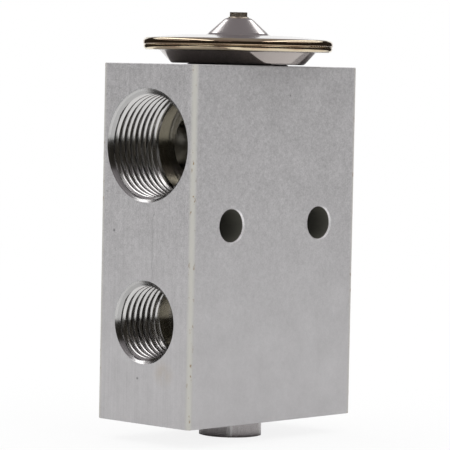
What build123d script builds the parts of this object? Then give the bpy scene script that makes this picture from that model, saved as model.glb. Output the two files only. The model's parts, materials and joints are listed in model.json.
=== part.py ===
"""Block thermostatic expansion valve: drilled block, diaphragm head, rod, ball and spring.

The frame stands on the adjuster's lower face, under the middle of the block.
+Z points up to the diaphragm head, -X is the pipe side and +X the evaporator side.
All sizes are in millimetres.
"""
import os
from math import sqrt

from build123d import *

# The block, cut from drawn bar
block_width = 48.0
block_depth = 26.0
block_height = 72.0
bar_corner = 0.9
saw_edge = 0.15
axis_offset = 1.55  # from the block's middle to the valve's axis

# Ports, with their drop below the block's top
suction_drop = 16.3
suction_thread_radius = 11.0
suction_port_depth = 14.7
suction_inlet_depth = 11.0
suction_bore_radius = 7.0
liquid_drop = 51.6
liquid_thread_radius = 8.0
liquid_port_depth = 12.9
liquid_bore_radius = 3.5
outlet_drop = 45.0
outlet_thread_radius = 8.0
outlet_port_depth = 11.0
outlet_bore_radius = 3.2
outlet_bore_rise = 3.1  # the drilled passage runs above its port's centre
thread_height = 0.81
thread_land = 1.4  # plain bore left under the last thread
port_flare = 0.36

# Mounting holes through the broad faces
mounting_radius = 3.3
mounting_spacing = 25.8
mounting_shift = 0.15
mounting_drop = 31.9
mounting_bevel = 0.3

# Orifice, ball and what carries the ball
seat_rise = 3.6  # from the liquid port's centre up to the seat
seat_radius = 4.2
seat_thickness = 2.6
orifice_radius = 1.9
ball_radius = 2.5
ball_recess_depth = 1.3
seat_relief = 0.6
carrier_neck_radius = 3.2
carrier_flange_radius = 4.6
carrier_flange_height = 1.6
carrier_spigot_height = 3.0
outlet_chamber_radius = 3.4
ball_chamber_radius = 7.0

# Damping spring, a stamped ring with four legs that rub on the chamber
damper_sheet = 0.3
damper_ring_radius = 5.3
damper_leg_width = 2.2
damper_leg_length = 4.6
damper_legs = 4

# Superheat spring
spring_wire = 1.2
spring_radius = 4.0  # to the middle of the wire
spring_turns = 5.0

# Adjuster at the foot of the block
nut_stand = 3.9  # the hexagon stands out this far below the block
nut_flats = 12.7
nut_turn = 43.0  # degrees from +X to a corner of the hexagon
nut_hexagon_height = 5.4
nut_bevel = 1.0
nut_bevel_height = 0.35
nut_thread_radius = 8.0
nut_thread_height = 6.6
nut_nose_height = 5.4
nut_cup_radius = 5.0
nut_floor = 6.6
adjuster_travel = 1.0
foot_washer_thickness = 0.8
foot_washer_bore = 2.0
seal_groove_depth = 1.35
seal_groove_width = 1.9
seal_groove_margin = 0.8

# Sensing rod, its seal and the push pin
rod_radius = 3.0
rod_depth_in_web = 8.3
rod_bevel = 0.4
rod_bore_floor = 1.4  # room left under the rod
pin_radius = 1.1
rod_seal_section = 1.8
rod_seal_pocket_radius = 4.9
rod_seal_pocket_depth = 3.6
retainer_thickness = 0.8
valve_stroke = 0.7

# Diaphragm head
head_radius = 19.44
head_gap = 0.25  # between the dish and the block
shell_wall = 0.9
dish_radius = 13.6
dish_mouth_radius = 16.1
dish_depth = 2.6
lower_flange = 1.1
lower_flange_inset = 0.1
lower_rim_round = 0.7
upper_flange = 1.35
upper_rim_round = 0.95
seam_round = 0.25
crown_radius = 11.5
crown_rise = 0.75
cone_base_radius = 6.65
cone_top_radius = 2.65
cone_rise = 3.6
cone_flare = 1.6
cone_shoulder = 1.5
diaphragm_radius = 18.4
diaphragm_sheet = 0.25
wave_margin = 0.6
wave_height = 0.25
waves = 2
pad_radius = 9.2
pad_thickness = 1.5
pad_boss_radius = 4.4
pad_boss_length = 4.0
plug_radius = 1.8
plug_stand = 1.15
plug_stem_radius = 1.2
plug_stem_length = 1.6
plug_notch_width = 0.5
plug_notch_depth = 0.45
plug_notches = 8
plug_dimple_radius = 0.75

# Neck that screws the head into the block
neck_radius = 9.0
neck_length = 6.6
neck_bore_radius = 5.6
neck_spigot_radius = 7.6
neck_bevel = 0.8
socket_floor_gap = 0.7
socket_vent_radius = 6.0
head_seal_pocket_radius = 11.1
head_seal_pocket_depth = 1.45

# Fits
thread_clearance = 0.05
running_clearance = 0.05
seat_clearance = 0.02
seal_clearance = 0.03

# Heights that follow from the sizes above
block_top = nut_stand + block_height
suction_height = block_top - suction_drop
liquid_height = block_top - liquid_drop
outlet_height = block_top - outlet_drop
mounting_height = block_top - mounting_drop
seat_height = liquid_height + seat_rise
ball_height = seat_height - sqrt(ball_radius**2 - orifice_radius**2) - seat_clearance
outlet_bore_height = outlet_height + outlet_bore_rise
outlet_chamber_top = outlet_bore_height + outlet_bore_radius
web_top = suction_height - suction_bore_radius
rod_foot = web_top - rod_depth_in_web
rod_pocket_floor = web_top - rod_seal_pocket_depth
nut_thread_top = nut_hexagon_height + nut_thread_height
nut_top = nut_thread_top + nut_nose_height
nut_corner_radius = nut_flats / sqrt(3)
nose_radius = ball_chamber_radius - running_clearance
groove_top = nut_top - seal_groove_margin
groove_foot = groove_top - seal_groove_width
adjuster_seal_section = ball_chamber_radius - seal_clearance - nose_radius + seal_groove_depth
thread_top = nut_thread_top + adjuster_travel + running_clearance

carrier_rim = ball_height - ball_radius + ball_recess_depth
cradle_tip = ball_height - ball_radius * sqrt(2)
damper_height = carrier_rim - ball_recess_depth / 2
damper_knee_radius = sqrt((ball_chamber_radius - running_clearance)**2 - (damper_leg_width / 2)**2)
carrier_flange_foot = damper_height - carrier_flange_height
spring_foot = nut_floor + foot_washer_thickness
spring_length = carrier_flange_foot - spring_foot
spring_pitch = spring_length / spring_turns

dish_foot = block_top + head_gap
flange_foot = dish_foot + dish_depth
seam_height = flange_foot + lower_flange
rim_height = seam_height + upper_flange
crown_height = rim_height + crown_rise
cone_height = crown_height + cone_rise
pad_top = seam_height - diaphragm_sheet
pad_foot = pad_top - pad_thickness
dish_floor = dish_foot + shell_wall
lower_rim_radius = head_radius - lower_flange_inset
# The shells' inner slopes run one wall inside the outer ones
dish_run = dish_mouth_radius - dish_radius
dish_lean = (sqrt(dish_run**2 + dish_depth**2) - dish_run) / dish_depth
dish_floor_radius = dish_radius - shell_wall * dish_lean
clamp_radius = dish_floor_radius + dish_run * (pad_top - dish_floor) / dish_depth
cone_run = cone_base_radius - cone_top_radius
cone_shift = shell_wall * (sqrt(cone_run**2 + cone_rise**2) - cone_run) / cone_rise
wave_start = pad_radius + wave_margin
wave_end = clamp_radius - wave_margin
wave_pitch = (wave_end - wave_start) / waves
socket_depth = neck_length + socket_floor_gap
head_seal_section = head_seal_pocket_depth + head_gap
head_seal_radius = neck_radius - thread_clearance + seal_clearance + head_seal_section / 2
rod_seal_height = rod_pocket_floor + rod_seal_section / 2

# Planes on the valve's axis
axis_point = (axis_offset, 0, 0)
axis_plane = Plane(origin=axis_point, x_dir=(1, 0, 0), z_dir=(0, -1, 0))
valve_axis = Axis(axis_point, (0, 0, 1))


def stepped(*steps):
    """Corners of a turned outline, from the axis out, for (radius, foot, top) steps going up."""
    corners = [(0, steps[0][1])]
    for radius, foot, top in steps:
        corners += [(radius, foot), (radius, top)]
    return corners + [(0, steps[-1][2])]


def rounded(*corners):
    """Closed outline through (radius, height, rounding) corners, drawn in the open BuildLine."""
    points = [(radius, height) for radius, height, rounding in corners]
    FilletPolyline(points, radius=[rounding for radius, height, rounding in corners], close=True)


# Side, height, thread radius and depth of each port
ports = [
    (-1, suction_height, suction_thread_radius, suction_port_depth),
    (1, suction_height, suction_thread_radius, suction_inlet_depth),
    (-1, liquid_height, liquid_thread_radius, liquid_port_depth),
    (1, outlet_height, outlet_thread_radius, outlet_port_depth),
]
# Side, height, radius and length of each drilled passage, measured from its face
passages = [
    (-1, suction_height, suction_bore_radius, block_width),
    (-1, liquid_height, liquid_bore_radius, block_width / 2 + axis_offset),
    (1, outlet_bore_height, outlet_bore_radius, block_width / 2 - axis_offset),
]

with BuildPart() as valve_block:
    with BuildSketch(Plane.XY.offset(nut_stand)):
        RectangleRounded(block_width, block_depth, bar_corner)
    extrude(amount=block_height)
    chamfer(valve_block.faces().filter_by(Axis.Z).edges(), saw_edge)
    # Threaded ports, each with a plain land under its thread
    for side, height, radius, depth in ports:
        mouth = Plane((side * block_width / 2, 0, height), x_dir=(0, 1, 0), z_dir=(side, 0, 0))
        with Locations(mouth):
            Hole(radius, depth - thread_land)
            Hole(radius - thread_height, depth)
    for side, height, radius, length in passages:
        mouth = Plane((side * block_width / 2, 0, height), x_dir=(0, 1, 0), z_dir=(side, 0, 0))
        with Locations(mouth):
            Hole(radius, length)
    for face in (valve_block.faces().sort_by(Axis.X)[0], valve_block.faces().sort_by(Axis.X)[-1]):
        chamfer(face.edges().filter_by(GeomType.CIRCLE), port_flare)
    # Mounting holes
    with BuildSketch(Plane.XZ.offset(-block_depth / 2)):
        with Locations((mounting_shift, mounting_height)):
            with GridLocations(mounting_spacing, 0, 2, 1):
                Circle(mounting_radius)
    extrude(amount=block_depth, mode=Mode.SUBTRACT)
    for face in (valve_block.faces().sort_by(Axis.Y)[0], valve_block.faces().sort_by(Axis.Y)[-1]):
        chamfer(face.edges().filter_by(GeomType.CIRCLE), mounting_bevel)
    # Adjuster thread, ball chamber, seat pocket and outlet chamber, bored from below
    with BuildSketch(axis_plane):
        with BuildLine():
            Polyline(
                stepped(
                    (nut_thread_radius, 0, thread_top),
                    (ball_chamber_radius, thread_top, seat_height),
                    (seat_radius, seat_height, seat_height + seat_thickness),
                    (outlet_chamber_radius, seat_height + seat_thickness, outlet_chamber_top),
                    (pin_radius + running_clearance, outlet_chamber_top, rod_foot),
                ),
                close=True,
            )
        make_face()
    revolve(axis=valve_axis, mode=Mode.SUBTRACT)
    # Rod bore, rod seal pocket, vent and head socket, bored from above
    with BuildSketch(axis_plane):
        with BuildLine():
            Polyline(
                stepped(
                    (rod_radius + running_clearance, rod_foot - rod_bore_floor, rod_pocket_floor),
                    (rod_seal_pocket_radius, rod_pocket_floor, suction_height),
                    (socket_vent_radius, suction_height, block_top - socket_depth),
                    (neck_radius, block_top - socket_depth, block_top - head_seal_pocket_depth),
                    (head_seal_pocket_radius, block_top - head_seal_pocket_depth, block_top),
                ),
                close=True,
            )
        make_face()
    revolve(axis=valve_axis, mode=Mode.SUBTRACT)
valve_block.part.label = "valve_block"

# Head, from the neck up: each shell is pressed from sheet and the rims are welded together
with BuildPart() as head_neck:
    with BuildSketch(axis_plane):
        with BuildLine():
            rounded(
                (neck_bore_radius, block_top - neck_length, 0),
                (neck_radius - thread_clearance - neck_bevel, block_top - neck_length, 0),
                (neck_radius - thread_clearance, block_top - neck_length + neck_bevel, 0),
                (neck_radius - thread_clearance, dish_foot, 0),
                (neck_spigot_radius, dish_foot, 0),
                (neck_spigot_radius, dish_floor, 0),
                (neck_bore_radius, dish_floor, 0),
            )
        make_face()
    revolve(axis=valve_axis)
head_neck.part.label = "head_neck"

with BuildPart() as head_lower_shell:
    with BuildSketch(axis_plane):
        with BuildLine():
            rounded(
                (neck_spigot_radius, dish_foot, 0),
                (dish_radius, dish_foot, shell_wall),
                (dish_mouth_radius, flange_foot, shell_wall / 2),
                (lower_rim_radius, flange_foot, lower_rim_round),
                (lower_rim_radius, seam_height, seam_round),
                (diaphragm_radius, seam_height, 0),
                (diaphragm_radius, pad_top, 0),
                (clamp_radius, pad_top, 0),
                (dish_floor_radius, dish_floor, shell_wall / 2),
                (neck_spigot_radius, dish_floor, 0),
            )
        make_face()
    revolve(axis=valve_axis)
head_lower_shell.part.label = "head_lower_shell"

with BuildPart() as head_upper_shell:
    with BuildSketch(axis_plane):
        with BuildLine():
            rounded(
                (plug_stem_radius + seat_clearance, cone_height, 0),
                (cone_top_radius, cone_height, cone_shoulder),
                (cone_base_radius, crown_height, cone_flare),
                (crown_radius, crown_height, crown_radius / 2),
                (head_radius, rim_height, upper_rim_round),
                (head_radius, seam_height, seam_round),
                (clamp_radius, seam_height, 0),
                (crown_radius, crown_height - shell_wall, 0),
                (cone_base_radius - cone_shift, crown_height - shell_wall, shell_wall),
                (cone_top_radius - cone_shift, cone_height - shell_wall, 0),
                (plug_stem_radius + seat_clearance, cone_height - shell_wall, 0),
            )
        make_face()
    revolve(axis=valve_axis)
head_upper_shell.part.label = "head_upper_shell"

# Diaphragm: a flat middle over the pad, pressed waves, and a flat edge between the flanges
with BuildPart() as diaphragm:
    with BuildSketch(axis_plane):
        with BuildLine():
            for height in (pad_top, seam_height):
                Line((0, height), (wave_start, height))
                for half in range(2 * waves):
                    inner = wave_start + half * wave_pitch / 2
                    outer = inner + wave_pitch / 2
                    crest = height + wave_height * (-1) ** half
                    ThreePointArc((inner, height), ((inner + outer) / 2, crest), (outer, height))
                Line((wave_end, height), (diaphragm_radius - seat_clearance, height))
            Line((0, pad_top), (0, seam_height))
            edge = diaphragm_radius - seat_clearance
            Line((edge, pad_top), (edge, seam_height))
        make_face()
    revolve(axis=valve_axis)
diaphragm.part.label = "diaphragm"

# Charge plug: a crimped crown on a stem that closes the cone
with BuildPart() as charge_plug:
    with BuildSketch(axis_plane):
        with BuildLine():
            Polyline(
                stepped(
                    (plug_stem_radius, cone_height - plug_stem_length, cone_height),
                    (plug_radius, cone_height, cone_height + plug_stand),
                ),
                close=True,
            )
        make_face()
    revolve(axis=valve_axis)
    with BuildSketch(Plane(origin=(axis_offset, 0, cone_height + plug_stand))):
        Circle(plug_dimple_radius)
        with PolarLocations(plug_radius, plug_notches):
            Rectangle(plug_radius, plug_notch_width)
    extrude(amount=-plug_notch_depth, mode=Mode.SUBTRACT)
charge_plug.part.label = "charge_plug"

with BuildPart() as head_seal:
    with BuildSketch(axis_plane):
        with Locations((head_seal_radius, block_top - head_seal_pocket_depth + head_seal_section / 2)):
            Circle(head_seal_section / 2)
    revolve(axis=valve_axis)
head_seal.part.label = "head_seal"

# Pad under the diaphragm, with a blind boss that takes the rod
with BuildPart() as diaphragm_pad:
    with BuildSketch(axis_plane):
        with BuildLine():
            rounded(
                (0, pad_foot, 0),
                (rod_radius + seat_clearance, pad_foot, 0),
                (rod_radius + seat_clearance, pad_foot - pad_boss_length, 0),
                (pad_boss_radius, pad_foot - pad_boss_length, 0),
                (pad_boss_radius, pad_foot, 0),
                (pad_radius, pad_foot, pad_thickness / 3),
                (pad_radius, pad_top, pad_thickness / 3),
                (0, pad_top, 0),
            )
        make_face()
    revolve(axis=valve_axis)
diaphragm_pad.part.label = "diaphragm_pad"

# Sensing rod across the suction passage, its seal in the web, and the pin down to the ball
with BuildPart() as sensing_rod:
    with BuildSketch(Plane(origin=(axis_offset, 0, rod_foot))):
        Circle(rod_radius)
    extrude(amount=pad_foot - rod_foot)
    chamfer(sensing_rod.edges().filter_by(GeomType.CIRCLE), rod_bevel)
sensing_rod.part.label = "sensing_rod"

with BuildPart() as rod_seal:
    with BuildSketch(axis_plane):
        with Locations((rod_radius + seal_clearance + rod_seal_section / 2, rod_seal_height)):
            Circle(rod_seal_section / 2)
    revolve(axis=valve_axis)
rod_seal.part.label = "rod_seal"

with BuildPart() as rod_seal_retainer:
    with BuildSketch(Plane(origin=(axis_offset, 0, rod_seal_height + rod_seal_section / 2))):
        Circle(rod_seal_pocket_radius - seat_clearance)
        Circle(rod_radius + thread_clearance, mode=Mode.SUBTRACT)
    extrude(amount=retainer_thickness)
rod_seal_retainer.part.label = "rod_seal_retainer"

with BuildPart() as push_pin:
    with BuildSketch(Plane(origin=(axis_offset, 0, ball_height + ball_radius))):
        Circle(pin_radius)
    extrude(amount=rod_foot - ball_height - ball_radius)
    chamfer(push_pin.edges().group_by(Axis.Z)[-1], pin_radius / 5)
push_pin.part.label = "push_pin"

# Orifice seat, pressed up into its pocket, and the ball under it
with BuildPart() as orifice_seat:
    with BuildSketch(Plane(origin=(axis_offset, 0, seat_height))):
        Circle(seat_radius - seat_clearance)
        Circle(orifice_radius, mode=Mode.SUBTRACT)
    extrude(amount=seat_thickness)
    chamfer(orifice_seat.edges().group_by(Axis.Z)[-1].sort_by(SortBy.RADIUS)[0], seat_relief)
orifice_seat.part.label = "orifice_seat"

with BuildPart() as valve_ball:
    with Locations((axis_offset, 0, ball_height)):
        Sphere(ball_radius)
valve_ball.part.label = "valve_ball"

# Carrier: a cone cradles the ball, a flange sits on the spring and a spigot centres it
with BuildPart() as ball_carrier:
    with BuildSketch(axis_plane):
        with BuildLine():
            rounded(
                (0, carrier_flange_foot - carrier_spigot_height, 0),
                (carrier_neck_radius, carrier_flange_foot - carrier_spigot_height, rod_bevel),
                (carrier_neck_radius, carrier_flange_foot, 0),
                (carrier_flange_radius, carrier_flange_foot, 0),
                (carrier_flange_radius, damper_height, 0),
                (carrier_neck_radius, damper_height, 0),
                (carrier_neck_radius, carrier_rim, 0),
                (carrier_rim - cradle_tip, carrier_rim, 0),
                (0, cradle_tip, 0),
            )
        make_face()
    revolve(axis=valve_axis)
ball_carrier.part.label = "ball_carrier"

with BuildPart() as damping_spring:
    with BuildSketch(Plane(origin=(axis_offset, 0, damper_height))):
        Circle(damper_ring_radius)
        Circle(carrier_neck_radius + seat_clearance, mode=Mode.SUBTRACT)
    extrude(amount=damper_sheet)
    with BuildPart(mode=Mode.PRIVATE) as leg:
        with BuildSketch(Plane.XZ):
            with BuildLine():
                Polyline(
                    (damper_ring_radius - 2 * damper_sheet, damper_height),
                    (damper_ring_radius, damper_height + damper_sheet),
                    (damper_knee_radius, damper_height - damper_leg_length / 2),
                    (damper_ring_radius + damper_sheet, damper_height - damper_leg_length),
                    (damper_ring_radius, damper_height - damper_leg_length),
                    (damper_knee_radius - damper_sheet, damper_height - damper_leg_length / 2),
                    close=True,
                )
            make_face()
        extrude(amount=damper_leg_width / 2, both=True)
    with Locations(axis_point):
        with PolarLocations(0, damper_legs):
            add(leg.part)
damping_spring.part.label = "damping_spring"

# Superheat spring, with both ends ground flat
with BuildPart() as valve_spring:
    with BuildLine(Plane(origin=(axis_offset, 0, spring_foot - spring_wire / 2))):
        coil = Helix(spring_pitch, spring_length + spring_wire, spring_radius)
    with BuildSketch(Plane(origin=coil @ 0, z_dir=coil % 0)):
        Circle(spring_wire / 2)
    sweep(path=coil, is_frenet=True)
    with BuildSketch(Plane(origin=(axis_offset, 0, spring_foot))):
        Circle(spring_radius + spring_wire)
    extrude(amount=spring_length, mode=Mode.INTERSECT)
valve_spring.part.label = "valve_spring"

with BuildPart() as spring_washer:
    with BuildSketch(Plane(origin=(axis_offset, 0, nut_floor))):
        Circle(nut_cup_radius - running_clearance)
        Circle(foot_washer_bore, mode=Mode.SUBTRACT)
    extrude(amount=foot_washer_thickness)
spring_washer.part.label = "spring_washer"

# Adjusting nut: hexagon, thread, grooved nose and the cup that holds the spring
with BuildPart() as adjusting_nut:
    with BuildSketch(Plane(origin=(axis_offset, 0, 0))):
        RegularPolygon(nut_flats / 2, 6, major_radius=False, rotation=nut_turn)
    extrude(amount=nut_hexagon_height)
    with BuildSketch(axis_plane):
        with BuildLine():
            rounded(
                (0, 0, 0),
                (nut_corner_radius - nut_bevel, 0, 0),
                (nut_corner_radius, nut_bevel_height, 0),
                (nut_corner_radius, nut_hexagon_height, 0),
                (0, nut_hexagon_height, 0),
            )
        make_face()
    revolve(axis=valve_axis, mode=Mode.INTERSECT)
    with BuildSketch(axis_plane):
        with BuildLine():
            Polyline(
                stepped(
                    (nut_thread_radius - thread_clearance, nut_hexagon_height, nut_thread_top),
                    (nose_radius, nut_thread_top, groove_foot),
                    (nose_radius - seal_groove_depth, groove_foot, groove_top),
                    (nose_radius, groove_top, nut_top),
                ),
                close=True,
            )
        make_face()
    revolve(axis=valve_axis)
    with BuildSketch(Plane(origin=(axis_offset, 0, nut_floor))):
        Circle(nut_cup_radius)
    extrude(amount=nut_top - nut_floor, mode=Mode.SUBTRACT)
adjusting_nut.part.label = "adjusting_nut"

with BuildPart() as adjuster_seal:
    with BuildSketch(axis_plane):
        with Locations((nose_radius - seal_groove_depth + adjuster_seal_section / 2,
                        (groove_foot + groove_top) / 2)):
            Circle(adjuster_seal_section / 2)
    revolve(axis=valve_axis)
adjuster_seal.part.label = "adjuster_seal"

pieces = [
    valve_block, head_neck, head_lower_shell, head_upper_shell, diaphragm, charge_plug, head_seal,
    diaphragm_pad, sensing_rod, rod_seal, rod_seal_retainer, push_pin, orifice_seat, valve_ball,
    ball_carrier, damping_spring, valve_spring, spring_washer, adjusting_nut, adjuster_seal,
]
os.makedirs("parts", exist_ok=True)
for piece in pieces:
    export_step(piece.part, f"parts/{piece.part.label}.step")
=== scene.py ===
import json
from math import atan2, cos, degrees, hypot, pi, radians, sin

import bpy
from mathutils import Matrix, Vector


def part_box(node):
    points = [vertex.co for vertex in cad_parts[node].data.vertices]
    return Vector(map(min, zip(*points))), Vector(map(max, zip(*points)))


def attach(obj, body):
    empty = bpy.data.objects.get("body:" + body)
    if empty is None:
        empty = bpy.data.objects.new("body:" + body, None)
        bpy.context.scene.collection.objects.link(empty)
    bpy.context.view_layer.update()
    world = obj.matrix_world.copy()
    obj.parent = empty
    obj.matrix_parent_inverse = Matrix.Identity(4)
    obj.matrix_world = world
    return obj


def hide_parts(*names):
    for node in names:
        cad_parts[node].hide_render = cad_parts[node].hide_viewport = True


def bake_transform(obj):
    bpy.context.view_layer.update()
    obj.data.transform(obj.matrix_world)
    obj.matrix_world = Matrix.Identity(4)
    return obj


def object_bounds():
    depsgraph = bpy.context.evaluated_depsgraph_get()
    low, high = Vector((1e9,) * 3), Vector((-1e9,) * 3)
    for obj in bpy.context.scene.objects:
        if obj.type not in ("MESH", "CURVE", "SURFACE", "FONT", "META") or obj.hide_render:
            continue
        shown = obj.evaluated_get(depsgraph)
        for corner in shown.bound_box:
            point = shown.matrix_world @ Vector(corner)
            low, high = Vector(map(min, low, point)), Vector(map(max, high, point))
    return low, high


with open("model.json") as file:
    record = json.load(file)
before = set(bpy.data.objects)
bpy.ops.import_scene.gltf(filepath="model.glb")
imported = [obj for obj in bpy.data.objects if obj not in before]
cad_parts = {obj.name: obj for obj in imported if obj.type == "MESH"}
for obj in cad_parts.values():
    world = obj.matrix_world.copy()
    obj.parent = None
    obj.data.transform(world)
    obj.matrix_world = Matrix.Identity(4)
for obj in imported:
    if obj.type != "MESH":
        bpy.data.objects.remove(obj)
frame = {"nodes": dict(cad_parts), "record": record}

mm = 0.001
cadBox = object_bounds()
blockFoot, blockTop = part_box("valve_block")
shellFoot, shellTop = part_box("head_upper_shell")
axisX = (shellFoot.x + shellTop.x) / 2     # the valve's axis stands here, at y = 0
mounts = {mount["name"]: mount for mount in frame["record"]["mounts"]}
portThreads = {"suctionOutletThread": "suction_outlet", "suctionInletThread": "suction_inlet",
               "liquidInletThread": "liquid_inlet", "liquidOutletThread": "liquid_outlet"}
mergeGap = 1e-6     # points this close, in metres, become one
cutGap = 1e-8       # points this close to a cut count as on it
print("frame loaded,", len(frame["nodes"]), "nodes")


# Shader maths: a wire is one output socket, and an expression on wires adds its Math nodes
class Wire:
    def __init__(self, tree, socket=None):
        self.tree = tree
        self.socket = socket

    def node(self, kind, settings=None, inputs=None, out=0):
        made = self.tree.nodes.new("ShaderNode" + kind)
        for name, value in (settings or {}).items():
            setattr(made, name, value)
        for name, value in (inputs or {}).items():
            if isinstance(value, Wire):
                self.tree.links.new(value.socket, made.inputs[name])
            elif isinstance(value, tuple) and made.inputs[name].type == "RGBA":
                made.inputs[name].default_value = (*value, 1.0)
            else:
                made.inputs[name].default_value = value
        return Wire(self.tree, made.outputs[out])

    def math(self, operation, *values):
        return self.node("Math", {"operation": operation}, dict(enumerate(values)))

    def __add__(self, other): return self.math("ADD", self, other)
    def __radd__(self, other): return self.math("ADD", other, self)
    def __sub__(self, other): return self.math("SUBTRACT", self, other)
    def __rsub__(self, other): return self.math("SUBTRACT", other, self)
    def __mul__(self, other): return self.math("MULTIPLY", self, other)
    def __truediv__(self, other): return self.math("DIVIDE", self, other)
    def __pow__(self, other): return self.math("POWER", self, other)
    def __lt__(self, other): return self.math("LESS_THAN", self, other)
    def __gt__(self, other): return self.math("GREATER_THAN", self, other)

    def size(self):
        return self.math("ABSOLUTE", self)

    def either(self, other):
        return self.math("MAXIMUM", self, other)

    def ease(self, low, high):      # 0 below low, 1 above high, smooth between
        settings = {"interpolation_type": "SMOOTHSTEP"}
        return self.node("MapRange", settings, {0: self, 1: low, 2: high})

    def mix(self, first, second):   # this wire is the factor between two colours
        return self.node("Mix", {"data_type": "RGBA"}, {0: self, 6: first, 7: second}, 2)

    def noise(self, grain, detail=2.0, roughness=0.5, stretch=(1, 1, 1)):
        # grain is the size of one blotch in metres, and stretch makes it longer along an axis
        scale = tuple(1 / (grain * part) for part in stretch)
        where = self.node("Mapping", None, {0: self, 3: scale})
        return self.node("TexNoise", None, {0: where, "Scale": 1.0, "Detail": detail,
                                            "Roughness": roughness})


class Finish:
    # a new material with its shader, and wires for the place, its axes and radii
    def __init__(self, name, metallic=1.0):
        self.material = bpy.data.materials.new(name)
        self.material.use_nodes = True
        self.tree = self.material.node_tree
        self.shader = self.tree.nodes["Principled BSDF"]
        self.shader.inputs["Metallic"].default_value = metallic
        self.place = Wire(self.tree).node("TexCoord", None, None, "Object")
        axes = self.place.node("SeparateXYZ", None, {0: self.place}).socket.node
        self.x, self.y, self.z = (Wire(self.tree, axes.outputs[i]) for i in range(3))

    def radius(self, first, second):
        return (first ** 2 + second ** 2) ** 0.5

    def distance(self, middle):
        # from a point whose x, y and z are in mm
        point = tuple(part * mm for part in middle)
        return self.place.node("VectorMath", {"operation": "DISTANCE"}, {0: self.place, 1: point},
                               "Value")

    def tinted(self, level, tint):
        # a grey level as a colour, each part of it times the tint's
        return self.place.node("CombineXYZ", None, {i: level * part for i, part in enumerate(tint)})

    def feed(self, socket, wire):
        self.tree.links.new(wire.socket, self.shader.inputs[socket])

    def bump(self, height, depth):
        # depth in metres is what a height of 1 stands for
        self.feed("Normal", self.place.node("Bump", None, {"Height": height, "Distance": depth}))

    def paint(self, *names):
        for name in names:
            for materialSlot in frame["nodes"][name].material_slots:
                materialSlot.material = self.material


def warm(level, tint=0.0):
    return (level * (1 + tint), level, level * (1 - tint))


def startEdit(piece):
    bpy.ops.object.select_all(action="DESELECT")
    piece.select_set(True)
    bpy.context.view_layer.objects.active = piece
    bpy.ops.object.mode_set(mode="EDIT")
    bpy.ops.mesh.select_mode(type="VERT")
    bpy.ops.mesh.select_all(action="SELECT")


def endEdit():
    bpy.ops.object.mode_set(mode="OBJECT")


def markEdges(piece, wanted):
    # in edit mode, selects the edges whose two ends pass the test
    bpy.ops.mesh.select_mode(type="EDGE")
    bpy.ops.mesh.select_all(action="DESELECT")
    bpy.ops.object.mode_set(mode="OBJECT")
    points = piece.data.vertices
    for edge in piece.data.edges:
        edge.select = all(wanted(points[i].co) for i in edge.vertices)
    bpy.ops.object.mode_set(mode="EDIT")


def markFaces(piece, wanted):
    # in edit mode, selects the faces whose middle passes the test
    bpy.ops.mesh.select_mode(type="FACE")
    bpy.ops.mesh.select_all(action="DESELECT")
    bpy.ops.object.mode_set(mode="OBJECT")
    for face in piece.data.polygons:
        face.select = wanted(face.center)
    bpy.ops.object.mode_set(mode="EDIT")


# The camera stands off the middle of the block's top face
cameraSetup = {
    "yaw": -46.165, "pitch": 3.167, "roll": 1.156,
    "away": 582.41, "right": 1.50, "up": 32.69,
    "lens": 227.92, "sensor": 36.0, "nearest": 0.01,
}


def placeCamera(setup):
    turn = (Matrix.Rotation(radians(setup["yaw"]), 4, "Z")
            @ Matrix.Rotation(radians(90 - setup["pitch"]), 4, "X")
            @ Matrix.Rotation(radians(setup["roll"]), 4, "Z"))
    shift = Vector((-setup["right"], -setup["up"], setup["away"])) * mm
    bpy.ops.object.camera_add()
    camera = bpy.context.active_object
    camera.name = "camera"
    camera.location = Vector((0, 0, blockTop.z)) + (turn @ shift)
    camera.rotation_euler = turn.to_euler()
    camera.data.sensor_width = setup["sensor"]
    camera.data.lens = setup["lens"]
    camera.data.clip_start = setup["nearest"]
    bpy.context.scene.camera = camera
    return camera


bpy.ops.object.select_all(action="DESELECT")
camera = placeCamera(cameraSetup)
cameraSide = atan2(camera.location.y, camera.location.x)
print("camera placed")

# Studio: white paper and backdrop, a grey tent above, dark cards round the part, two strip lights
studio = {
    "daylight": 0.90, "backdrop": 1.0,
    "floorSize": 6.0, "floorColour": 0.90, "floorGlow": 0.86, "floorFade": (0.15, 0.6),
    "floorSheen": (0.03, 0.13),
    # each card runs between two bearings off the camera's side, up to a height
    "cards": {"frontCard": (0, 64, 0.34), "sideCard": (64, 158, 0.27)},
    "cardRadius": 0.4, "cardSides": 180, "cardColour": (0.03, 0.027, 0.022),
    "tentRadius": 2.2, "tentFoot": 33, "tentBack": 17, "tentSpread": 158,
    "tentSides": 96, "tentRings": 60, "tentColour": (0.27, 0.25, 0.26),
    "stripAside": 0.66, "stripRise": 0.87, "stripAhead": -0.19, "stripSize": (2.2, 0.20),
    "stripPower": 3.4,
}


def rayKinds(wires):
    # 1 for rays from the camera, off gloss and through glass
    return [wires.node("LightPath", None, None, name)
            for name in ("Is Camera Ray", "Is Glossy Ray", "Is Transmission Ray")]


def whiteToCamera(wires, lit):
    # what the camera, gloss and glass see, against what lights the object
    straight, gloss, glass = rayKinds(wires)
    seen = straight.either(gloss).either(glass)
    return seen.mix(warm(lit), warm(studio["backdrop"]))


def buildWorld():
    world = bpy.data.worlds.new("studio")
    bpy.context.scene.world = world
    world.use_nodes = True
    background = world.node_tree.nodes["Background"]
    colour = whiteToCamera(Wire(world.node_tree), studio["daylight"])
    world.node_tree.links.new(colour.socket, background.inputs["Color"])


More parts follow.
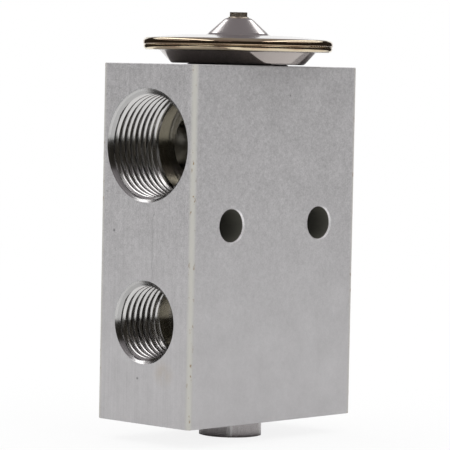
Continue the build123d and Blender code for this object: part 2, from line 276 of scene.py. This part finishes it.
def stageMaterial(name, colour):
    # cloth that shows just this colour, whatever light falls on it
    material = bpy.data.materials.new(name)
    material.use_nodes = True
    shader = material.node_tree.nodes["Principled BSDF"]
    shader.inputs["Base Color"].default_value = (0, 0, 0, 1)
    shader.inputs["Specular IOR Level"].default_value = 0.0
    shader.inputs["Emission Color"].default_value = (*colour, 1.0)
    shader.inputs["Emission Strength"].default_value = 1.0
    return material


def buildFloor():
    bpy.ops.mesh.primitive_plane_add(size=studio["floorSize"], location=(0, 0, cadBox[0].z))
    floor = bpy.context.active_object
    floor.name = "floor"
    material = bpy.data.materials.new("palePaper")
    material.use_nodes = True
    tree = material.node_tree
    shader = tree.nodes["Principled BSDF"]
    shader.inputs["Base Color"].default_value = (*warm(studio["floorColour"]), 1.0)
    shader.inputs["Roughness"].default_value = 1.0
    wires = Wire(tree)
    place = wires.node("TexCoord", None, None, "Object")
    away = wires.node("VectorMath", {"operation": "LENGTH"}, {0: place}, "Value")
    straight, gloss, glass = rayKinds(wires)
    far = away.ease(*studio["floorFade"]) * (1 - studio["floorGlow"]) + studio["floorGlow"]
    seen = (straight * far).either(gloss.either(glass) * away.ease(*studio["floorSheen"]))
    glow = wires.node("Emission", None, {"Color": warm(studio["backdrop"])})
    lit = Wire(tree, shader.outputs[0])
    both = wires.node("MixShader", None, {0: seen, 1: lit, 2: glow})
    output = tree.nodes["Material Output"]
    tree.links.new(both.socket, output.inputs["Surface"])
    floor.data.materials.append(material)


def bearing(point):
    # degrees round from the camera's side, and degrees above the floor
    turn = degrees(atan2(point.y, point.x) - cameraSide)
    return abs((turn + 180) % 360 - 180), degrees(atan2(point.z, hypot(point.x, point.y)))


def hang(name, colour, keep):
    # cuts the active cloth to the faces that are kept; only sharp reflections show it
    cloth = bpy.context.active_object
    cloth.name = name
    startEdit(cloth)
    markFaces(cloth, lambda middle: not keep(*bearing(cloth.location + middle)))
    bpy.ops.mesh.delete(type="FACE")
    endEdit()
    cloth.data.materials.append(stageMaterial(name + "Cloth", colour))
    cloth.visible_camera = cloth.visible_diffuse = cloth.visible_shadow = False


def buildTent():
    for name, (first, last, height) in studio["cards"].items():
        bpy.ops.mesh.primitive_cylinder_add(vertices=studio["cardSides"], radius=studio["cardRadius"],
                                            depth=height, end_fill_type="NOTHING",
                                            location=(0, 0, height / 2))
        hang(name, studio["cardColour"], lambda turn, rise: first <= turn < last)
    bpy.ops.mesh.primitive_uv_sphere_add(segments=studio["tentSides"], ring_count=studio["tentRings"],
                                         radius=studio["tentRadius"])
    hang("tent", studio["tentColour"], lambda turn, rise: rise > (
        studio["tentFoot"] if turn < studio["tentSpread"] else studio["tentBack"]))


def buildStrips():
    toCamera = Vector((cos(cameraSide), sin(cameraSide), 0))
    target = Vector((axisX, 0, blockTop.z))
    for side in (-1, 1):
        aside = Vector((-toCamera.y, toCamera.x, 0)) * side
        place = aside * studio["stripAside"] + Vector((0, 0, studio["stripRise"]))
        ahead = toCamera * studio["stripAhead"]
        bpy.ops.object.light_add(type="AREA", location=target + place + ahead)
        lamp = bpy.context.active_object
        lamp.name = "stripLight" + ("Left" if side < 0 else "Right")
        faces = place.normalized()
        turn = Matrix((toCamera, faces.cross(toCamera), faces)).transposed()
        lamp.rotation_euler = turn.to_euler()
        lamp.data.shape = "RECTANGLE"
        lamp.data.size, lamp.data.size_y = studio["stripSize"]
        lamp.data.energy = studio["stripPower"]


buildWorld()
buildFloor()
buildTent()
buildStrips()
bpy.ops.object.select_all(action="DESELECT")
print("studio built")

# Block: drawn bar with a fine matt grain, bright where it is bored, with painted shade deeper inside
# the ports and on the mounting hole walls
blockFinish = {
    "top": blockTop.z, "width": blockTop.x - blockFoot.x, "depth": blockTop.y - blockFoot.y,
    "bar": 0.545, "barTint": (1.022, 1.0, 1.014), "barRough": 0.5, "barMetal": 0.5,
    "machined": warm(0.52, 0.01), "machinedRough": 0.2, "mouth": 0.37 * mm,
    # painted shade: the ports' plain bore past the thread and the mounting hole walls are coloured
    # darker
    "inner": (0.42, 0.40, 0.35), "innerPast": 0.3 * mm,
    "drilled": (0.13, 0.127, 0.108), "drilledPast": 0.02 * mm, "drilledDull": 0.3,
    # each drilled hole has a painted highlight, a light rim on one side
    "litRim": 0.33 * mm, "litRimSide": (0.2, 0.8), "litRimLift": 0.3,
    # how near to the x of the port faces counts as on them
    "endFace": (0.05 * mm, 0.3 * mm),
    # the long corners show a rubbed band with brown stains
    "band": (0.2 * mm, 1.4 * mm), "bandColour": (0.57, 0.56, 0.52), "bandRough": 0.4,
    "bandDull": 0.3, "stain": (0.30, 0.22, 0.13), "stains": (0.60, 0.68),
    "stainNoise": (0.8 * mm, 3.0, 0.6, (1, 1, 2)),
    # each noise is a blotch size, a detail, a roughness and, where it needs one, a stretch
    "grain": (0.32 * mm, 3.0, 0.6), "grainShare": 0.8, "grainRough": 0.2,
    "blotch": (1.1 * mm, 2.0, 0.5), "blotchShare": 0.35,
    "mottle": (5.0 * mm, 3.0, 0.55), "mottleShare": 0.2,
    "streak": (0.5 * mm, 2.0, 0.5, (1, 1, 40)), "streakShare": 0.2, "streakRelief": 0.5,
    "relief": 0.02 * mm,
    # the grain grows in contrast from the foot to the top
    "grainFade": (12 * mm, 60 * mm), "grainDepth": (0.25, 0.95), "endGrain": 0.4,
    "edgeShade": 0.12, "edgeReach": 1.2 * mm, "topReach": 0.6 * mm,
    # small pits at x, y and z in mm with their radius, and a scratch down the pipe side
    "pits": ((-24, 9.0, 42.3, 0.40), (-24, 1.6, 13.0, 0.34), (3.6, -13, 70.0, 0.24)),
    "pitFloor": 0.4, "pitWobble": 0.3 * mm, "pitShade": 0.5,
    "scratch": -2.1 * mm, "scratchWidth": 0.18 * mm, "scratchEnds": (32 * mm, 49 * mm),
    "scratchFade": 2 * mm, "scratchShade": 0.22, "wander": (6 * mm, 3.0, 0.6), "wanderReach": 3 * mm,
    "smudge": (-24, -5.8, 14.4), "smudgeReach": 3.5 * mm, "smudgeColour": (0.46, 0.38, 0.28),
    "smudgePatches": (0.35, 0.7), "smudgeShade": 0.5,
}


def nearFace(wire, face, near, far):
    # 1 within near of a pair of opposite faces, 0 further in than far
    return wire.size().ease(face - far, face - near)


def boredPorts(f, look):
    # the inside of the four ports, and the plain bore under their threads that takes painted shade
    bored = inner = 0
    for name in portThreads.values():
        port = mounts[name]
        side, radius = port["axis"][0], port["dims"]["r_mm"] * mm
        foot = look["width"] / 2 - port["dims"]["length_mm"] * mm
        hole = (f.radius(f.y, f.z - port["pos_m"][2]) < radius + look["mouth"]) * (f.x * side > 0)
        bored = hole.either(bored)
        inner = (hole * (f.x * side < foot - look["innerPast"])).either(inner)
    return bored, inner


def drilledHoles(f, look):
    # the walls of the two mounting holes, which take painted shade, and the painted highlight rim on
    # one side of each
    pattern = mounts["mounting_holes"]
    radius = pattern["dims"]["hole_r_mm"] * mm
    drilled = litRim = 0
    for side in (-0.5, 0.5):
        across = f.x - (pattern["pos_m"][0] + side * pattern["dims"]["spacing_x_mm"] * mm)
        reach = f.radius(across, f.z - pattern["pos_m"][2])
        drilled = (reach < radius + look["drilledPast"]).either(drilled)
        litRim = ((reach < radius + look["litRim"]) * (across / reach).ease(*look["litRimSide"])).either(litRim)
    return drilled, litRim * (1 - drilled)


def pitsAndScratch(f, look, grain, endFace):
    pits = 0
    for *middle, size in look["pits"]:
        reach = f.distance(middle) + (grain - 0.5) * look["pitWobble"]
        pits = (1 - reach.ease(size * look["pitFloor"] * mm, size * mm)).either(pits)
    wander = (f.place.noise(*look["wander"]) - 0.5) * look["wanderReach"]
    aside = (f.y - look["scratch"] + wander).size()
    low, high = look["scratchEnds"]
    scratch = ((1 - aside.ease(0.0, look["scratchWidth"])) * (f.x < 0) * endFace
               * f.z.ease(low, low + look["scratchFade"])
               * (1 - f.z.ease(high - look["scratchFade"], high)))
    return pits, scratch


def finishBlock(look):
    f = Finish("blockAluminium")
    bored, inner = boredPorts(f, look)
    drilled, litRim = drilledHoles(f, look)
    halfWidth, halfDepth, reach = look["width"] / 2, look["depth"] / 2, look["edgeReach"]
    endFace = nearFace(f.x, halfWidth, *look["endFace"])
    band = nearFace(f.x, halfWidth, *look["band"]) * nearFace(f.y, halfDepth, *look["band"])
    edges = (nearFace(f.x, halfWidth, 0, reach) * (1 - endFace)
             + nearFace(f.y, halfDepth, 0, reach) * endFace)
    edges = edges.either(f.z.ease(look["top"] - look["topReach"], look["top"]))
    grain, blotch, mottle, streak = (f.place.noise(*look[name])
                                     for name in ("grain", "blotch", "mottle", "streak"))
    low, high = look["grainDepth"]
    depth = f.z.ease(*look["grainFade"]) * (high - low) + low
    speck = (grain - 0.5) * look["grainShare"] + (blotch - 0.5) * look["blotchShare"]
    speck = speck * depth * (1 + endFace * look["endGrain"]) + (mottle - 0.5) * look["mottleShare"]
    lines = (streak - 0.5) * endFace * look["streakShare"]
    pits, scratch = pitsAndScratch(f, look, grain, endFace)
    level = (1 + speck + lines) * (1 - edges * look["edgeShade"])
    level = level * (1 - pits * look["pitShade"]) * (1 - scratch * look["scratchShade"])
    # painted highlight: the light rim on one side of each hole is added to the grey level
    shade = f.tinted(level * look["bar"] + litRim * look["litRimLift"], look["barTint"])
    smudge = ((1 - f.distance(look["smudge"]).ease(0.0, look["smudgeReach"]))
              * mottle.ease(*look["smudgePatches"]))
    shade = (smudge * look["smudgeShade"]).mix(shade, look["smudgeColour"])
    stains = f.place.noise(*look["stainNoise"]).ease(*look["stains"])
    shade = band.mix(shade, stains.mix(look["bandColour"], look["stain"]))
    # painted shade: the walls of the mounting holes are coloured dark
    shade = drilled.mix(shade, look["drilled"])
    # painted shade: the bore deeper than the thread foot is coloured darker
    f.feed("Base Color", bored.mix(shade, inner.mix(look["machined"], look["inner"])))
    f.feed("Roughness", bored * (look["machinedRough"] - look["barRough"]) + look["barRough"]
           + band * look["bandRough"] + (grain - 0.5) * look["grainRough"])
    f.feed("Metallic", bored * (1 - look["barMetal"]) + look["barMetal"]
           - band * look["bandDull"] - drilled * look["drilledDull"])
    f.bump((grain - 0.5) * (1 - bored) * (1 - drilled) + streak * endFace * look["streakRelief"],
           look["relief"])
    f.paint("valve_block")


finishBlock(blockFinish)
print("block finished")

# Threads in the four ports, each a ring that carries its thread, countersink and run-out
threadSetup = {
    "pitch": 1.5 * mm, "height": 0.81 * mm, "flare": 0.36 * mm, "runOut": 1.9 * mm,
    "edgeBreak": 0.035 * mm, "edgeSlope": 0.6, "proud": 0.03 * mm, "bed": 0.03 * mm,
    "crestShare": 1 / 4, "rootShare": 1 / 8, "crestRows": 2, "flankRows": 3, "rootRows": 1,
    "steps": 128, "spareTurns": 4,
    "smoothBelow": 28,
}


def threadSection(setup):
    # moves in radius and depth that draw one pitch: crest, flank out, root, flank back
    pitch, rise, soft = setup["pitch"], setup["height"] - setup["proud"], setup["edgeBreak"]
    crest, root = pitch * setup["crestShare"], pitch * setup["rootShare"]
    flank = (pitch - crest - root) / 2
    slope, rows = soft * setup["edgeSlope"], setup["flankRows"]
    moves = [(0, (crest - 2 * soft) / setup["crestRows"])] * setup["crestRows"]
    moves.append((slope, soft))
    moves += [((rise - slope) / rows, flank / rows)] * rows
    moves += [(0, root / setup["rootRows"])] * setup["rootRows"]
    moves += [(-(rise - slope) / rows, flank / rows)] * rows
    moves.append((-slope, soft))
    return moves


def turnThread(ring, setup, mouth, foot):
    # the section goes round and up, and is cut level at both ends
    startEdit(ring)
    bpy.ops.mesh.merge(type="CENTER")
    for out, down in threadSection(setup):
        bpy.ops.mesh.extrude_vertices_move(TRANSFORM_OT_translate={"value": (out, 0, down)})
    endEdit()
    screw = ring.modifiers.new("screw", "SCREW")
    screw.axis, screw.angle = "Z", 2 * pi
    screw.screw_offset = setup["pitch"]
    screw.iterations = int(foot / setup["pitch"]) + setup["spareTurns"]
    screw.steps = screw.render_steps = setup["steps"]
    bpy.ops.object.modifier_apply(modifier=screw.name)
    startEdit(ring)
    bpy.ops.mesh.remove_doubles(threshold=mergeGap)
    for cut, facing in ((mouth, -1), (foot, 1)):
        bpy.ops.mesh.select_all(action="SELECT")
        bpy.ops.mesh.bisect(plane_co=(0, 0, cut), plane_no=(0, 0, facing), clear_outer=True,
                            threshold=cutGap)
    endEdit()


def closeBack(ring, wall, mouth, foot):
    # back wall: out along the foot, up behind the thread, and closed at the mouth
    startEdit(ring)
    markEdges(ring, lambda p: p.z > foot - mergeGap)
    bpy.ops.mesh.extrude_edges_move()
    bpy.ops.transform.resize(value=(wall, wall, 1), center_override=(0, 0, 0))
    bpy.ops.mesh.extrude_edges_move(TRANSFORM_OT_translate={"value": (0, 0, mouth - foot)})
    markEdges(ring, lambda p: p.z < mouth + mergeGap)
    bpy.ops.mesh.bridge_edge_loops()
    bpy.ops.mesh.select_all(action="SELECT")
    bpy.ops.mesh.remove_doubles(threshold=mergeGap)
    bpy.ops.mesh.normals_make_consistent(inside=False)
    endEdit()


def cutThread(name, port, setup):
    side, height, radius = port["axis"][0], port["pos_m"][2], port["dims"]["r_mm"] * mm
    crest = radius - setup["height"]
    mouth = setup["flare"]
    foot = port["dims"]["length_mm"] * mm + mouth
    bpy.ops.mesh.primitive_plane_add(size=mm, location=(crest, 0, -2 * setup["pitch"]))
    ring = bpy.context.active_object
    ring.name = name
    bpy.ops.object.transform_apply()
    turnThread(ring, setup, mouth, foot)
    # the countersink opens the mouth, and the tap's taper shallows the last turns
    for point in ring.data.vertices:
        reach = hypot(point.co.x, point.co.y)
        taper = radius - (point.co.z - foot + setup["runOut"]) / setup["runOut"] * setup["height"]
        wanted = max(min(reach, max(taper, crest)), radius + mouth - point.co.z)
        point.co.x *= wanted / reach
        point.co.y *= wanted / reach
    closeBack(ring, (radius + setup["bed"]) / crest, mouth, foot)
    ring.rotation_euler = (0, radians(90 * -side), 0)
    ring.location = (side * blockFinish["width"] / 2, 0, height)
    bpy.ops.object.transform_apply()
    bpy.ops.object.shade_smooth_by_angle(angle=radians(setup["smoothBelow"]))
    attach(ring, "block")
    return ring


# Cut metal: bright down the thread, with painted shade near the mouth, and fine turning lines
cutSetup = {
    "bright": warm(0.62, 0.015), "mouth": warm(0.44, 0.01), "mouthShadeDepth": (0.9 * mm, 1.2 * mm),
    "turning": (0.12 * mm, 2.0, 0.5, (1, 20, 20)), "rough": 0.12, "turningRough": 0.12,
    "relief": 0.004 * mm,
}


def finishThreads(look):
    f = Finish("cutAluminium")
    # painted shade: the cut metal is coloured darker within this depth of the mouth
    mouth = nearFace(f.x, blockTop.x, *look["mouthShadeDepth"])
    turning = f.place.noise(*look["turning"])
    f.feed("Base Color", mouth.mix(look["bright"], look["mouth"]))
    f.feed("Roughness", look["rough"] + turning * look["turningRough"])
    f.bump(turning, look["relief"])
    return f


cutFinish = finishThreads(cutSetup)
for name, port in portThreads.items():
    ring = cutThread(name, mounts[port], threadSetup)
    ring.data.materials.append(cutFinish.material)
    print(name, len(ring.data.vertices), "points")

# Head: pressed stainless shells, tinted by the heat of the weld round the rim
headFinish = {
    "steel": (0.58, 0.55, 0.54), "rough": 0.09, "drawn": (0.6 * mm, 3.0, 0.6), "drawnRough": 0.06,
    # the dish is the lower shell under its rim, given a darker colour as painted shade, and the cone
    # is the middle of the upper one
    "dish": (0.41, 0.37, 0.35), "dishBelow": 1.2 * mm, "coneRough": 0.13, "coneAbove": 2.6 * mm,
    "patches": (5.0 * mm, 3.0, 0.5), "relief": 0.01 * mm,
    "straw": (0.70, 0.60, 0.43), "strawReach": (18.2 * mm, 19.1 * mm), "strawWander": 1.5 * mm,
    "burnt": (0.50, 0.37, 0.26), "burntReach": (19.2 * mm, 19.42 * mm), "burntWander": 0.5 * mm,
}


def finishHead(look):
    f = Finish("headStainless")
    reach = f.radius(f.x - axisX, f.y)
    drawn = f.place.noise(*look["drawn"])
    patches = f.place.noise(*look["patches"])
    tint = (reach + (patches - 0.5) * look["strawWander"]).ease(*look["strawReach"])
    burn = (reach + (patches - 0.5) * look["burntWander"]).ease(*look["burntReach"])
    # painted shade: the dish under the rim is coloured darker than the steel
    dish = f.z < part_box("head_lower_shell")[1].z - look["dishBelow"]
    cone = f.z > shellFoot.z + look["coneAbove"]
    f.feed("Base Color", tint.mix(dish.mix(look["steel"], look["dish"]),
                                  burn.mix(look["straw"], look["burnt"])))
    f.feed("Roughness", look["rough"] + cone * look["coneRough"] + (drawn - 0.5) * look["drawnRough"])
    f.bump(patches, look["relief"])
    f.paint("head_lower_shell", "head_upper_shell")


finishHead(headFinish)

# Small parts: an even finish each, darker in blotches of its own grain size
smallParts = {
    "turnedSteel": {
        "colour": (0.62, 0.61, 0.60), "rough": 0.25, "grain": 0.4 * mm, "relief": 0.01 * mm,
        "nodes": ("head_neck", "diaphragm_pad", "ball_carrier", "spring_washer")},
    "innerStainless": {
        "colour": (0.64, 0.62, 0.60), "rough": 0.15, "grain": 0.5 * mm, "relief": 0.005 * mm,
        "nodes": ("diaphragm", "rod_seal_retainer", "push_pin", "orifice_seat", "valve_ball")},
    "rodAluminium": {
        "colour": (0.80, 0.80, 0.81), "rough": 0.3, "grain": 0.5 * mm, "relief": 0.01 * mm,
        "nodes": ("sensing_rod",)},
    "springSteel": {
        "colour": (0.45, 0.44, 0.44), "rough": 0.3, "grain": 0.4 * mm, "relief": 0.01 * mm,
        "nodes": ("valve_spring", "damping_spring")},
    "plugBronze": {
        "colour": (0.74, 0.66, 0.55), "rough": 0.4, "grain": 0.4 * mm, "relief": 0.03 * mm,
        "nodes": ("charge_plug",), "darker": 0.35},
    "sealRubber": {
        "colour": (0.018, 0.018, 0.02), "rough": 0.5, "grain": 0.3 * mm, "relief": 0.01 * mm,
        "nodes": ("head_seal", "rod_seal", "adjuster_seal"), "metallic": 0.0},
}
smallCommon = {"metallic": 1.0, "darker": 0.2, "noise": (3.0, 0.6), "blotches": (0.3, 0.7),
               "roughSpread": 0.2}


def finishSmall(name, look):
    f = Finish(name, look["metallic"])
    pattern = f.place.noise(look["grain"], *look["noise"])
    dark = tuple(part * (1 - look["darker"]) for part in look["colour"])
    f.feed("Base Color", pattern.ease(*look["blotches"]).mix(dark, look["colour"]))
    f.feed("Roughness", look["rough"] + (pattern - 0.5) * look["roughSpread"])
    f.bump(pattern, look["relief"])
    f.paint(*look["nodes"])
    return f


smallFinishes = {name: finishSmall(name, smallCommon | look) for name, look in smallParts.items()}
print("small parts finished")

# Valve spring: the coil cut into two halves at its middle
springSetup = {
    "halves": {"springUpperHalf": ("valve_train", 1), "springLowerHalf": ("spring_foot", -1)},
    "mergeGap": 1e-7, "smoothBelow": 40,
}


def halveSpring(name, facing, setup):
    low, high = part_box("valve_spring")
    middle, end = (low.z + high.z) / 2, (high.z if facing > 0 else low.z)
    half = bpy.data.objects.new(name, frame["nodes"]["valve_spring"].data.copy())
    bpy.context.collection.objects.link(half)
    startEdit(half)
    bpy.ops.mesh.remove_doubles(threshold=setup["mergeGap"])
    bpy.ops.mesh.bisect(plane_co=(0, 0, middle), plane_no=(0, 0, facing), clear_inner=True,
                        use_fill=True, threshold=cutGap)
    endEdit()
    bpy.ops.mesh.customdata_custom_splitnormals_clear()
    bpy.ops.object.shade_smooth_by_angle(angle=radians(setup["smoothBelow"]))
    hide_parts("valve_spring")
    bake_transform(half)
    print(name, len(half.data.vertices), "points")


for name, (body, facing) in springSetup["halves"].items():
    halveSpring(name, facing, springSetup)

# Adjusting nut: drawn hexagon with painted shade at its foot, its corners worn bright with a painted
# highlight on them
nutFinish = {
    "steel": (0.40, 0.38, 0.38), "rough": 0.22,
    "wornGlint": (0.92, 0.90, 0.90), "wornGlintReach": (6.9 * mm, 7.25 * mm), "wornGlintWander": 0.6 * mm,
    "wornRough": 0.25,
    "foot": (0.20, 0.18, 0.18), "footShadeTo": 0.8 * mm, "footShadeWander": 1.2 * mm,
    "scratches": (1.2 * mm, 4.0, 0.65, (0.6, 0.6, 3)), "scratchDark": (0.3, 0.8),
    "scratchShade": 0.3, "scratchRough": 0.1, "relief": 0.006 * mm,
}


def finishNut(look):
    f = Finish("nutSteel")
    reach = f.radius(f.x - axisX, f.y)
    scratches = f.place.noise(*look["scratches"])
    # the corners are lighter: wear, and a painted highlight along them
    wornGlint = (reach + (scratches - 0.5) * look["wornGlintWander"]).ease(*look["wornGlintReach"])
    # painted shade, darker towards the foot of the nut next to the floor
    foot = 1 - (f.z + (scratches - 0.5) * look["footShadeWander"]).ease(0.0, look["footShadeTo"])
    colour = wornGlint.mix(look["steel"], look["wornGlint"])
    marks = scratches.ease(*look["scratchDark"]) * look["scratchShade"]
    f.feed("Base Color", foot.mix(marks.mix(colour, look["foot"]), look["foot"]))
    f.feed("Roughness", look["rough"] + wornGlint * look["wornRough"]
           + (scratches - 0.5) * look["scratchRough"])
    f.bump(scratches, look["relief"])
    f.paint("adjusting_nut")


finishNut(nutFinish)

# Braze round the foot of the charge plug
brazeSetup = {
    "radius": 1.75 * mm, "thick": 0.42 * mm, "flat": 0.7, "sink": 0.05 * mm,
    "sides": 48, "rings": 14, "uneven": 0.05 * mm, "seed": 4, "smoothBelow": 60,
}


def buildBraze(setup):
    bpy.ops.object.select_all(action="DESELECT")
    bpy.ops.mesh.primitive_torus_add(major_radius=setup["radius"], minor_radius=setup["thick"],
                                     major_segments=setup["sides"], minor_segments=setup["rings"])
    braze = bpy.context.active_object
    braze.name = "plugBraze"
    startEdit(braze)
    bpy.ops.transform.resize(value=(1, 1, setup["flat"]), center_override=(0, 0, 0))
    bpy.ops.transform.vertex_random(offset=setup["uneven"], seed=setup["seed"])
    endEdit()
    braze.location = (axisX, 0, shellTop.z - setup["sink"])
    bpy.ops.object.transform_apply()
    bpy.ops.object.shade_smooth_by_angle(angle=radians(setup["smoothBelow"]))
    braze.data.materials.append(smallFinishes["plugBronze"].material)
    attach(braze, "block")


buildBraze(brazeSetup)
print("nut and braze finished")

bpy.context.scene.view_settings.view_transform = "Standard"
